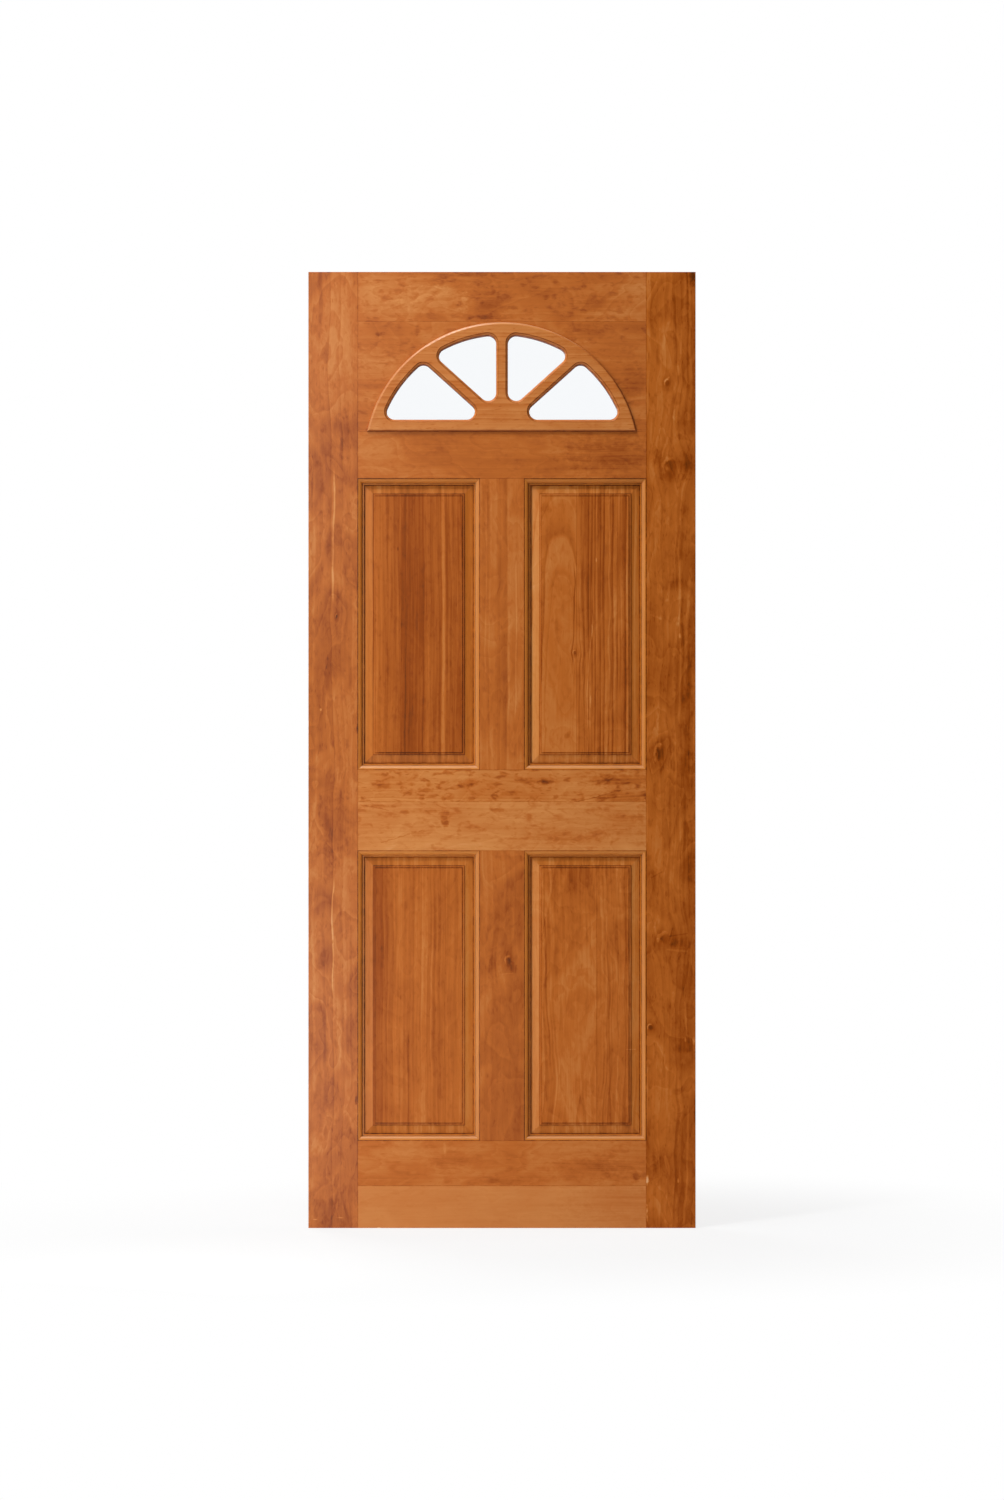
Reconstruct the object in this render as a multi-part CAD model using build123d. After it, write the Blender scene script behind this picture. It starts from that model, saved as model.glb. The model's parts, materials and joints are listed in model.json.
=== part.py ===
"""Timber door leaf with a half-moon fan light over four raised and fielded panels.

Millimetres. X runs across the leaf from the hinge edge, Y from the front face to the back, Z up from the bottom edge.
The origin is on the hinge edge, at mid thickness. The framing is scribed together: a moulding and a panel groove run
along every edge that faces a panel, and the rails and muntins are cut to fit over the mouldings that they meet.
"""

from math import sqrt
import os

from build123d import *

# Overall leaf
leaf_width = 823.0
leaf_height = 2032.0
leaf_thickness = 40.0
arris_radius = 1.5  # eased corners along the outer edges of the stiles

# Flat faces of the framing, up to where its mouldings begin
stile_face = 105.0
muntin_face = 95.0
top_board_height = 105.0
fan_board_height = 234.0
frieze_rail_height = 100.0
lock_upper_board_height = 68.0
lock_lower_board_height = 104.0
lower_opening_height = 616.0
bottom_upper_board_height = 96.0
bottom_lower_board_height = 90.0

# Moulding and groove worked on every edge that faces a panel
quirk_depth = 1.0  # small drop from the face to the top of the ovolo
ovolo_radius = 9.5
fillet_width = 4.0  # flat between the ovolo and the panel
groove_width = 10.2
groove_depth = 11.0

# Raised panels, the same on both faces
tongue_fit = 0.15  # between a tongue's face and the wall of its groove
panel_movement_gap = 2.0  # room for the panel to swell, at its sides and top
bevel_run = 18.5
bevel_rise = 4.5
tread_width = 4.5  # flat between the two small risers round the raised field
riser_height = 1.6

# Fan light
fan_side_margin = 20.0  # board left between the fan frame and each stile
fan_top_margin = 2.0  # board left between the top of the arch and the joint above it
fan_proud = 6.0  # how far its frames stand out from the faces of the leaf
fan_edge_round = 5.0
fan_lip = 10.0  # overlap of a frame on the board round the opening
fan_fit = 0.5  # between a frame's inner part and the opening
fan_bar_width = 25.0  # rim, base and bars, measured at the glass
fan_bar_angle = 42.0  # slope of the outer bars
fan_hub_height = 15.0  # where the bars' centre lines meet, above the base
pane_corner_radius = 17.5
pane_quirk_depth = 0.8
pane_bevel = 4.5
pane_bevel_margin = 0.5  # flat left between the quirk and the pane's bevel
glass_thickness = 4.0
glass_edge_gap = 2.0

# Extra length and depth of the cutting shapes, so that they pass cleanly through the wood
overcut = 1.0

# Places worked out from the sizes above
half_thickness = leaf_thickness / 2
centre_x = leaf_width / 2
sticking_width = ovolo_radius + fillet_width
fillet_level = half_thickness - quirk_depth - ovolo_radius  # distance of the moulding's flat from mid thickness

bottom_joint_z = bottom_lower_board_height
bottom_rail_top_z = bottom_joint_z + bottom_upper_board_height
lock_rail_bottom_z = bottom_rail_top_z + lower_opening_height
lock_joint_z = lock_rail_bottom_z + lock_lower_board_height
lock_rail_top_z = lock_joint_z + lock_upper_board_height
top_joint_z = leaf_height - top_board_height
fan_base_z = top_joint_z - fan_board_height
frieze_bottom_z = fan_base_z - frieze_rail_height

rail_x = (stile_face, leaf_width - stile_face)
muntin_x = (centre_x - muntin_face / 2, centre_x + muntin_face / 2)

fan_width = rail_x[1] - rail_x[0] - 2 * fan_side_margin
fan_height = fan_board_height - fan_top_margin
fan_radius = ((fan_width / 2) ** 2 + fan_height**2) / (2 * fan_height)
fan_centre_drop = fan_radius - fan_height  # how far the arch's centre lies below the base


def board(x_range, z_range):
    """Square-edged board of the leaf's full thickness."""
    (x0, x1), (z0, z1) = x_range, z_range
    return Pos((x0 + x1) / 2, 0, (z0 + z1) / 2) * Box(x1 - x0, leaf_thickness, z1 - z0)


def sticking_cutter(origin, into_opening, along, length):
    """Waste that is taken off a square edge to leave an ovolo on each face and the panel groove between them."""
    ovolo_depth = half_thickness - fillet_level
    face_waste = Pos((sticking_width + overcut) / 2, fillet_level + (ovolo_depth + overcut) / 2) * Rectangle(
        sticking_width + overcut, ovolo_depth + overcut
    )
    face_waste -= Pos(0, fillet_level) * Circle(ovolo_radius)
    groove = Pos(sticking_width + (overcut - groove_depth) / 2, 0) * Rectangle(groove_depth + overcut, groove_width)
    waste = face_waste + mirror(face_waste, about=Plane.XZ) + groove
    return extrude(Plane(origin, x_dir=into_opening, z_dir=along) * waste, length)


def hinge_edge_stile():
    """Full-height upright with its moulding along the inner edge and eased corners along the outer edge."""
    stile = board((0, stile_face + sticking_width), (0, leaf_height))
    stile -= sticking_cutter((stile_face, 0, -overcut), (1, 0, 0), (0, 0, 1), leaf_height + 2 * overcut)
    outer_corners = stile.edges().filter_by(Axis.Z).group_by(Axis.X)[0]
    return fillet(outer_corners, arris_radius)


def rail_board(bottom_z, top_z, stiles, moulded_bottom=False, moulded_top=False):
    """Board across the leaf, moulded where it faces a panel and scribed over the mouldings of both stiles."""
    low = bottom_z - sticking_width if moulded_bottom else bottom_z
    high = top_z + sticking_width if moulded_top else top_z
    wood = board(rail_x, (low, high))
    start_x = rail_x[0] - overcut
    length = rail_x[1] - rail_x[0] + 2 * overcut
    if moulded_bottom:
        wood -= sticking_cutter((start_x, 0, bottom_z), (0, 0, -1), (1, 0, 0), length)
    if moulded_top:
        wood -= sticking_cutter((start_x, 0, top_z), (0, 0, 1), (1, 0, 0), length)
    return wood - stiles


def muntin(bottom_z, top_z, rails):
    """Short upright between two panels, moulded on both sides and scribed over the rails at its ends."""
    wood = board((muntin_x[0] - sticking_width, muntin_x[1] + sticking_width), (bottom_z, top_z))
    length = top_z - bottom_z + 2 * overcut
    wood -= sticking_cutter((muntin_x[0], 0, bottom_z - overcut), (-1, 0, 0), (0, 0, 1), length)
    wood -= sticking_cutter((muntin_x[1], 0, bottom_z - overcut), (1, 0, 0), (0, 0, 1), length)
    return wood - rails


def panel_section(low, high, high_gap, low_gap):
    """Section of a raised panel between two groove floors: tongue, bevel, two small risers and field at each end."""
    tongue = groove_width / 2 - tongue_fit
    shoulder = tongue + bevel_rise
    tread = shoulder + riser_height
    field = tread + riser_height
    sight = groove_depth  # from the groove floor to the edge of the moulding
    steps = [(sight, tongue), (sight + bevel_run, shoulder), (sight + bevel_run, tread)]
    steps += [(sight + bevel_run + tread_width, tread), (sight + bevel_run + tread_width, field)]
    rising = [(low + low_gap, tongue)] + [(low + run, height) for run, height in steps]
    falling = [(high - run, height) for run, height in reversed(steps)] + [(high - high_gap, tongue)]
    front = rising + falling
    back = [(along, -height) for along, height in reversed(front)]
    return make_face(Polyline(*front, *back, close=True))


def raised_panel(x_range, z_range):
    """Panel that fills an opening, loose in its grooves and standing on the lower one."""
    groove_floor = sticking_width - groove_depth
    (x0, x1), (z0, z1) = [(start + groove_floor, end - groove_floor) for start, end in (x_range, z_range)]
    across = panel_section(x0, x1, panel_movement_gap, panel_movement_gap)
    upward = panel_section(z0, z1, panel_movement_gap, 0)
    tall = extrude(Plane((0, 0, z0), x_dir=(1, 0, 0), z_dir=(0, 0, 1)) * across, z1 - z0)
    wide = extrude(Plane((x0, 0, 0), x_dir=(0, 0, 1), z_dir=(1, 0, 0)) * upward, x1 - x0)
    return tall & wide


def half_moon(inset):
    """Fan light's outline drawn in by an inset all round, with the middle of its base at the origin."""
    radius = fan_radius - inset
    half_chord = sqrt(radius**2 - (fan_centre_drop + inset) ** 2)
    left, right = (-half_chord, inset), (half_chord, inset)
    arch = ThreePointArc(left, (0, radius - fan_centre_drop), right)
    return make_face(arch + Line(right, left))


def pane_openings():
    """Four round-cornered openings between the rim, the base and the three bars."""
    openings = half_moon(fan_bar_width)
    bar = Rectangle(2 * fan_radius, fan_bar_width)
    for angle in (90, fan_bar_angle, 180 - fan_bar_angle):
        openings -= Pos(0, fan_hub_height) * Rot(0, 0, angle) * Pos(fan_radius, 0) * bar
    return fillet(openings.vertices(), pane_corner_radius)


def front_frame(face_plane):
    """Half-moon frame that laps the front face, with its inner part reaching the glass."""
    inner_depth = half_thickness - glass_thickness / 2
    openings = pane_openings()
    frame = extrude(face_plane * half_moon(0), fan_proud)
    outer_edges = frame.faces().sort_by(Axis.Y)[0].edges()
    frame = fillet(outer_edges, fan_edge_round)
    frame += extrude(face_plane * half_moon(fan_lip + fan_fit), -inner_depth)
    frame -= extrude(face_plane * openings, inner_depth + fan_proud, both=True)
    quirk_plane = face_plane.offset(fan_proud - pane_quirk_depth)
    for opening in openings.faces():
        widened = offset(opening, pane_bevel + pane_bevel_margin)
        frame -= extrude(quirk_plane * widened, pane_quirk_depth + overcut)
    quirk_y = quirk_plane.origin.Y
    rims = [edge for edge in frame.edges() if on_pane_rim(edge, quirk_y, face_plane, openings)]
    return chamfer(rims, pane_bevel)


def on_pane_rim(edge, quirk_y, face_plane, openings):
    """Whether an edge is where a pane's wall meets the floor of its quirk."""
    middle = edge @ 0.5
    if abs(middle.Y - quirk_y) > 0.01:
        return False
    local = face_plane.to_local_coords(middle)
    outline_gap = min(outline.distance_to(Vector(local.X, local.Y, 0)) for outline in openings.edges())
    return outline_gap < 0.01


def build():
    """Every piece of the leaf by name."""
    hinge_stile = hinge_edge_stile()
    lock_stile = mirror(hinge_stile, about=Plane.YZ.offset(centre_x))
    stiles = [hinge_stile, lock_stile]

    face_plane = Plane((centre_x, -half_thickness, fan_base_z), x_dir=(1, 0, 0), z_dir=(0, -1, 0))
    fan_board = rail_board(fan_base_z, top_joint_z, stiles)
    fan_board -= extrude(face_plane * half_moon(fan_lip), leaf_thickness + overcut, both=True)
    glass_plane = face_plane.offset(-half_thickness)
    glass_outline = glass_plane * half_moon(fan_lip + glass_edge_gap)
    front_fan_frame = front_frame(face_plane)
    half_turn = Pos(centre_x, 0, 0) * Rot(0, 0, 180) * Pos(-centre_x, 0, 0)

    pieces = {
        "hinge_stile": hinge_stile,
        "lock_stile": lock_stile,
        "top_rail_upper_board": rail_board(top_joint_z, leaf_height, stiles),
        "top_rail_fan_board": fan_board,
        "frieze_rail": rail_board(frieze_bottom_z, fan_base_z, stiles, moulded_bottom=True),
        "lock_rail_upper_board": rail_board(lock_joint_z, lock_rail_top_z, stiles, moulded_top=True),
        "lock_rail_lower_board": rail_board(lock_rail_bottom_z, lock_joint_z, stiles, moulded_bottom=True),
        "bottom_rail_upper_board": rail_board(bottom_joint_z, bottom_rail_top_z, stiles, moulded_top=True),
        "bottom_rail_lower_board": rail_board(0, bottom_joint_z, stiles),
        "front_fan_frame": front_fan_frame,
        "back_fan_frame": half_turn * front_fan_frame,
        "fan_glass": extrude(glass_outline, glass_thickness / 2, both=True),
    }

    rows = {
        "upper": (lock_rail_top_z, frieze_bottom_z, "lock_rail_upper_board", "frieze_rail"),
        "lower": (bottom_rail_top_z, lock_rail_bottom_z, "bottom_rail_upper_board", "lock_rail_lower_board"),
    }
    columns = {"left": (rail_x[0], muntin_x[0]), "right": (muntin_x[1], rail_x[1])}
    for row, (bottom_z, top_z, rail_below, rail_above) in rows.items():
        pieces[f"{row}_muntin"] = muntin(bottom_z, top_z, [pieces[rail_below], pieces[rail_above]])
        for column, x_range in columns.items():
            pieces[f"{row}_{column}_panel"] = raised_panel(x_range, (bottom_z, top_z))
    return pieces


os.makedirs("parts", exist_ok=True)
for name, piece in build().items():
    export_step(piece, f"parts/{name}.step")
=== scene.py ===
import json
import math

import bpy
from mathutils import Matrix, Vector

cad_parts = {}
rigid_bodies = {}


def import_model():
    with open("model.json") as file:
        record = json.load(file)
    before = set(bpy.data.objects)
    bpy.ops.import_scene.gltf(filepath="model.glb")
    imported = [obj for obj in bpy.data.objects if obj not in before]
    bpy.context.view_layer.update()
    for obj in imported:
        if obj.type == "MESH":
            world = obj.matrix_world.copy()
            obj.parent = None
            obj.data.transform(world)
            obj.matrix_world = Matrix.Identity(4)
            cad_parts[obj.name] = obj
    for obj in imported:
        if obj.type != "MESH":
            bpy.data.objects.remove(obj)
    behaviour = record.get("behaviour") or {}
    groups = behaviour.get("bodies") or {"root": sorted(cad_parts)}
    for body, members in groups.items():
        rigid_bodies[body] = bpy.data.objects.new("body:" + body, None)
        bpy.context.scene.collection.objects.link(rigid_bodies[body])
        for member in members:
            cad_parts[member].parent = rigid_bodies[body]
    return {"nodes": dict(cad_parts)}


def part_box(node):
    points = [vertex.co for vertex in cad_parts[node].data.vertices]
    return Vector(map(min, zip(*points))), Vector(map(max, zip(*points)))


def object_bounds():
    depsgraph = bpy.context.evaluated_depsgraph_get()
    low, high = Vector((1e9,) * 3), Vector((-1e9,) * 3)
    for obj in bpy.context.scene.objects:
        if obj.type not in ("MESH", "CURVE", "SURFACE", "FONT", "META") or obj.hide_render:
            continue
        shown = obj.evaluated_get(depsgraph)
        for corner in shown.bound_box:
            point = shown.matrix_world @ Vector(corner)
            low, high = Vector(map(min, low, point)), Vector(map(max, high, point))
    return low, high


for spare in list(bpy.data.objects):
    bpy.data.objects.remove(spare)

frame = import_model()
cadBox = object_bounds()
nodes = frame["nodes"]
print("loaded", len(nodes), "pieces of the door leaf")

# Sizes of the mouldings in metres, and where the panel openings and board joints lie
moulding = {
    "width": 0.0135,  # from a board's flat face to the panel
    "quirk": 0.0002,
    "ovolo": 0.0095,
    "bevel": 0.0185,  # sloping margin of a panel
    "tread": 0.0045,  # small step round the raised field
}
leafCentre = (Vector(cadBox[0]) + Vector(cadBox[1])) / 2
halfSpan = leafCentre.x - (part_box("hinge_stile")[1].x - moulding["width"])
halfMuntin = leafCentre.x - (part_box("upper_muntin")[0].x + moulding["width"])
openingRows = {
    "lower": (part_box("bottom_rail_upper_board")[1].z - moulding["width"],
              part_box("lock_rail_lower_board")[0].z + moulding["width"]),
    "upper": (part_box("lock_rail_upper_board")[1].z - moulding["width"],
              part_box("frieze_rail")[0].z + moulding["width"]),
}
fanLow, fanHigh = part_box("front_fan_frame")
fanRise = fanHigh.z - fanLow.z
fanRadius = ((fanHigh.x - fanLow.x) ** 2 / 4 + fanRise ** 2) / (2 * fanRise)
gluedBoards = ("top_rail_fan_board", "frieze_rail", "lock_rail_lower_board", "bottom_rail_lower_board")
glueHeights = [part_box(name)[1].z for name in gluedBoards]
print("openings at", openingRows, "glue lines at", glueHeights)


# Helpers for building node trees

def paint(code):
    parts = [int(code[i:i + 2], 16) / 255 for i in (1, 3, 5)]
    linear = [p / 12.92 if p <= 0.04045 else ((p + 0.055) / 1.055) ** 2.4 for p in parts]
    return (*linear, 1.0)


def feed(tree, socket, value):
    if isinstance(value, bpy.types.NodeSocket):
        tree.links.new(value, socket)
    elif value is not None:
        socket.default_value = value


def put(tree, kind, inputs=None, **settings):
    node = tree.nodes.new(kind)
    for key, value in settings.items():
        setattr(node, key, value)
    for key, value in (inputs or {}).items():
        feed(tree, node.inputs[key], value)
    return node


def calc(tree, operation, first, second=None, third=None, clamp=False):
    node = put(tree, "ShaderNodeMath", operation=operation, use_clamp=clamp)
    for socket, value in zip(node.inputs, (first, second, third)):
        feed(tree, socket, value)
    return node.outputs[0]


def rise(tree, value, low, high):  # 0 below low, 1 above high, smooth between
    node = put(tree, "ShaderNodeMapRange", interpolation_type="SMOOTHSTEP")
    for key, number in (("Value", value), ("From Min", low), ("From Max", high)):
        feed(tree, node.inputs[key], number)
    return node.outputs[0]


def fall(tree, value, low, high):  # 1 below low, 0 above high
    return calc(tree, "SUBTRACT", 1.0, rise(tree, value, low, high))


def blend(tree, amount, first, second):
    node = put(tree, "ShaderNodeMix", data_type="RGBA")
    for place, value in ((0, amount), (6, first), (7, second)):
        feed(tree, node.inputs[place], value)
    return node.outputs[2]


def split(tree, vector):
    return put(tree, "ShaderNodeSeparateXYZ", {"Vector": vector}).outputs


def join(tree, x, y, z):
    return put(tree, "ShaderNodeCombineXYZ", {"X": x, "Y": y, "Z": z}).outputs[0]


def noise(tree, vector, seed, detail=2.0, roughness=0.5, distortion=0.0):
    settings = {"Vector": vector, "W": seed, "Scale": 1.0, "Detail": detail, "Roughness": roughness,
                "Distortion": distortion}
    return put(tree, "ShaderNodeTexNoise", settings, noise_dimensions="4D").outputs[0]


def stretch(tree, parts, along, across):  # metres on the board to cycles of a noise
    return join(tree, calc(tree, "MULTIPLY", parts[0], along), calc(tree, "MULTIPLY", parts[1], across),
                calc(tree, "MULTIPLY", parts[2], across))


def apart(tree, value, place):
    return calc(tree, "ABSOLUTE", calc(tree, "SUBTRACT", value, place))


def both(tree, first, second):
    return calc(tree, "MULTIPLY", first, second)


def newGroup(name, inputs, outputs):
    group = bpy.data.node_groups.new(name, "ShaderNodeTree")
    for label, kind, value in inputs:
        socket = group.interface.new_socket(label, in_out="INPUT", socket_type=f"NodeSocket{kind}")
        if value is not None:
            socket.default_value = value
    for label, kind in outputs:
        group.interface.new_socket(label, in_out="OUTPUT", socket_type=f"NodeSocket{kind}")
    start = put(group, "NodeGroupInput")
    end = put(group, "NodeGroupOutput")
    return group, start.outputs, end.inputs


def place(tree, group, inputs):
    node = tree.nodes.new("ShaderNodeGroup")
    node.node_tree = group
    for key, value in inputs.items():
        feed(tree, node.inputs[key], value)
    return node.outputs


# Shared effects of the stained wood, with its painted shade and painted highlights

noiseCycles = {  # waves a metre, along and across the board
    "slowSway": (2.4, 5.0), "quickSway": (13.0, 28.0), "rough": (75.0, 95.0), "streak": (4.0, 170.0),
    "fleck": (60.0, 260.0), "wideCloud": (5.0, 11.0), "closeCloud": (15.0, 32.0), "mottle": (40.0, 80.0),
}


def boardAxesGroup():  # place on the door as along, across and depth of the board
    group, given, result = newGroup("boardAxes", [("Upright", "Float", 1.0)], [("Board", "Vector")])
    x, y, z = split(group, put(group, "ShaderNodeTexCoord").outputs["Object"])
    node = put(group, "ShaderNodeMix", data_type="VECTOR")
    feed(group, node.inputs[0], given["Upright"])
    feed(group, node.inputs[4], join(group, x, z, y))
    feed(group, node.inputs[5], join(group, z, x, y))
    feed(group, result["Board"], node.outputs[1])
    return group


def grainFlowGroup():  # bends the lines of a board in slow waves and round its knots
    group, given, result = newGroup("grainFlow", [
        ("Board", "Vector", None), ("Seed", "Float", 0.0), ("Sway", "Float", 0.01), ("Push", "Float", 0.0),
    ], [("Flowing", "Vector"), ("Rough", "Float")])
    parts = split(group, given["Board"])
    slow = noise(group, stretch(group, parts, *noiseCycles["slowSway"]), given["Seed"], 2.0)
    quick = noise(group, stretch(group, parts, *noiseCycles["quickSway"]), given["Seed"], 1.0)
    wave = calc(group, "MULTIPLY_ADD", calc(group, "SUBTRACT", quick, 0.5), 0.25,
                calc(group, "SUBTRACT", slow, 0.5))
    across = calc(group, "MULTIPLY_ADD", wave, given["Sway"], calc(group, "ADD", parts[1], given["Push"]))
    feed(group, result["Flowing"], join(group, parts[0], across, parts[2]))
    feed(group, result["Rough"], noise(group, stretch(group, parts, *noiseCycles["rough"]), 4.0, 3.0, 0.6))
    return group


def growthRingsGroup():  # rings round a heart that lies off the board: late wood of each year, and its tone
    group, given, result = newGroup("growthRings", [
        ("Flowing", "Vector", None), ("Seed", "Float", 0.0), ("Heart Across", "Float", 0.0),
        ("Heart Depth", "Float", 0.3), ("Heart Tilt", "Float", 0.0), ("Ring Width", "Float", 0.006),
        ("Bluntness", "Float", 2.0), ("Unevenness", "Float", 1.8), ("Fades Outward", "Float", 0.0),
        ("Plain Heart", "Float", 0.0),
    ], [("Band", "Float"), ("Year", "Float")])
    parts = split(group, given["Flowing"])
    lean = calc(group, "MULTIPLY_ADD", parts[0], given["Heart Tilt"], given["Heart Depth"])
    depth = calc(group, "MAXIMUM", calc(group, "ADD", lean, parts[2]), 0.0)
    across = apart(group, parts[1], given["Heart Across"])
    powers = [calc(group, "POWER", part, given["Bluntness"]) for part in (across, depth)]
    radius = calc(group, "POWER", calc(group, "ADD", *powers), calc(group, "DIVIDE", 1.0, given["Bluntness"]))
    even = calc(group, "DIVIDE", radius, given["Ring Width"])
    uneven = put(group, "ShaderNodeTexNoise", {"W": calc(group, "MULTIPLY_ADD", even, 0.4, given["Seed"]),
                                               "Scale": 1.0, "Detail": 1.0}, noise_dimensions="1D").outputs[0]
    count = calc(group, "MULTIPLY_ADD", uneven, given["Unevenness"], even)
    inward = calc(group, "FRACT", count)
    flip = calc(group, "MULTIPLY_ADD", inward, -2.0, 1.0)
    within = calc(group, "MULTIPLY_ADD", flip, given["Fades Outward"], inward)
    late = both(group, calc(group, "POWER", within, 2.2), fall(group, within, 0.84, 1.0))
    late = both(group, late, calc(group, "GREATER_THAN", radius, given["Plain Heart"]))
    whole = calc(group, "MULTIPLY_ADD", given["Seed"], 17.0, calc(group, "FLOOR", count))
    year = put(group, "ShaderNodeTexWhiteNoise", {"W": whole}, noise_dimensions="1D").outputs["Value"]
    feed(group, result["Band"], both(group, late, calc(group, "MULTIPLY_ADD", year, 0.8, 0.3)))
    feed(group, result["Year"], year)
    return group


def fibresGroup():  # fine streaks along the grain and short dark flecks
    group, given, result = newGroup("fibres", [("Flowing", "Vector", None), ("Seed", "Float", 0.0)],
                                    [("Streak", "Float"), ("Fleck", "Float")])
    parts = split(group, given["Flowing"])
    streak = noise(group, stretch(group, parts, *noiseCycles["streak"]), given["Seed"], 4.0, 0.62)
    fleck = noise(group, stretch(group, parts, *noiseCycles["fleck"]), given["Seed"], 1.0)
    feed(group, result["Streak"], rise(group, streak, 0.3, 0.7))
    feed(group, result["Fleck"], rise(group, fleck, 0.62, 0.76))
    return group


def tideMarks(tree, value, steps):  # fades one way and stops at a clear edge, as stain that dried in puddles
    within = calc(tree, "FRACT", calc(tree, "MULTIPLY", value, steps))
    return both(tree, within, fall(tree, within, 0.9, 1.0))


def stainCloudsGroup():  # uneven take-up of the stain: wide clouds, tide marks, and small mottling
    group, given, result = newGroup("stainClouds", [("Board", "Vector", None), ("Seed", "Float", 0.0)],
                                    [("Cloud", "Float"), ("Mottle", "Float")])
    parts = split(group, given["Board"])
    wide = noise(group, stretch(group, parts, *noiseCycles["wideCloud"]), given["Seed"], 2.5, 0.5, 0.9)
    close = noise(group, stretch(group, parts, *noiseCycles["closeCloud"]), given["Seed"], 2.5, 0.55, 1.3)
    mottle = noise(group, stretch(group, parts, *noiseCycles["mottle"]), given["Seed"], 2.0, 0.6, 0.4)
    puddles = calc(group, "MULTIPLY_ADD", tideMarks(group, close, 5.0), 0.45, tideMarks(group, wide, 7.0))
    cloud = calc(group, "MULTIPLY_ADD", rise(group, wide, 0.38, 0.62), 0.5,
                 calc(group, "MULTIPLY", puddles, 0.45))
    feed(group, result["Cloud"], cloud)
    feed(group, result["Mottle"], rise(group, mottle, 0.5, 0.74))
    return group


def knotGroup():  # dark heart, brown halo, pale curl on its upper left, and how far it pushes the grain aside
    group, given, result = newGroup("knot", [
        ("Board", "Vector", None), ("Rough", "Float", 0.5), ("Along", "Float", 0.0), ("Across", "Float", 0.0),
        ("Size", "Float", 0.01), ("Stretch", "Float", 1.6),
    ], [("Core", "Float"), ("Halo", "Float"), ("Curl", "Float"), ("Push", "Float")])
    parts = split(group, given["Board"])
    along = calc(group, "DIVIDE", calc(group, "SUBTRACT", parts[0], given["Along"]), given["Stretch"])
    across = calc(group, "SUBTRACT", parts[1], given["Across"])
    reach = calc(group, "SQRT", calc(group, "MULTIPLY_ADD", along, along, both(group, across, across)))
    reach = calc(group, "DIVIDE", reach, given["Size"])
    ragged = calc(group, "ADD", reach, calc(group, "MULTIPLY_ADD", given["Rough"], 1.2, -0.6))
    feed(group, result["Core"], fall(group, ragged, 0.25, 0.9))
    feed(group, result["Halo"], fall(group, ragged, 0.4, 2.6))
    rim = both(group, rise(group, ragged, 0.5, 0.75), fall(group, ragged, 0.9, 1.2))
    upLeft = calc(group, "SUBTRACT", along, across)
    feed(group, result["Curl"], both(group, rim, rise(group, upLeft, 0.0, given["Size"])))
    swell = calc(group, "EXPONENT", calc(group, "MULTIPLY", both(group, reach, reach), -0.12))
    feed(group, result["Push"], both(group, across, calc(group, "MULTIPLY", swell, -0.8)))
    return group


def blotchGroup():  # one ragged patch of deeper or paler stain
    group, given, result = newGroup("blotch", [
        ("Board", "Vector", None), ("Rough", "Float", 0.5), ("Along", "Float", 0.0), ("Across", "Float", 0.0),
        ("Length", "Float", 0.02), ("Breadth", "Float", 0.01),
    ], [("Mask", "Float")])
    parts = split(group, given["Board"])
    along = calc(group, "DIVIDE", calc(group, "SUBTRACT", parts[0], given["Along"]), given["Length"])
    across = calc(group, "DIVIDE", calc(group, "SUBTRACT", parts[1], given["Across"]), given["Breadth"])
    reach = calc(group, "SQRT", calc(group, "MULTIPLY_ADD", along, along, both(group, across, across)))
    ragged = calc(group, "ADD", reach, calc(group, "MULTIPLY_ADD", given["Rough"], 2.4, -1.2))
    feed(group, result["Mask"], fall(group, ragged, 0.3, 1.15))
    return group


def streakGroup():  # one long pale or dark line that follows the grain
    group, given, result = newGroup("streak", [
        ("Flowing", "Vector", None), ("Across", "Float", 0.0), ("Width", "Float", 0.003),
        ("From", "Float", 0.0), ("To", "Float", 1.0),
    ], [("Mask", "Float")])
    parts = split(group, given["Flowing"])
    away = calc(group, "DIVIDE", apart(group, parts[1], given["Across"]), given["Width"])
    begins = rise(group, parts[0], calc(group, "SUBTRACT", given["From"], 0.03), given["From"])
    ends = fall(group, parts[0], given["To"], calc(group, "ADD", given["To"], 0.03))
    feed(group, result["Mask"], both(group, fall(group, away, 0.3, 1.0), both(group, begins, ends)))
    return group


def grainBandGroup():  # one clear-edged stripe of the grain
    group, given, result = newGroup("grainBand", [
        ("Flowing", "Vector", None), ("From", "Float", 0.0), ("To", "Float", 0.01)], [("Mask", "Float")])
    across = split(group, given["Flowing"])[1]
    begins = rise(group, calc(group, "SUBTRACT", across, given["From"]), -0.001, 0.0015)
    ends = rise(group, calc(group, "SUBTRACT", given["To"], across), -0.001, 0.0015)
    feed(group, result["Mask"], both(group, begins, ends))
    return group


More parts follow.
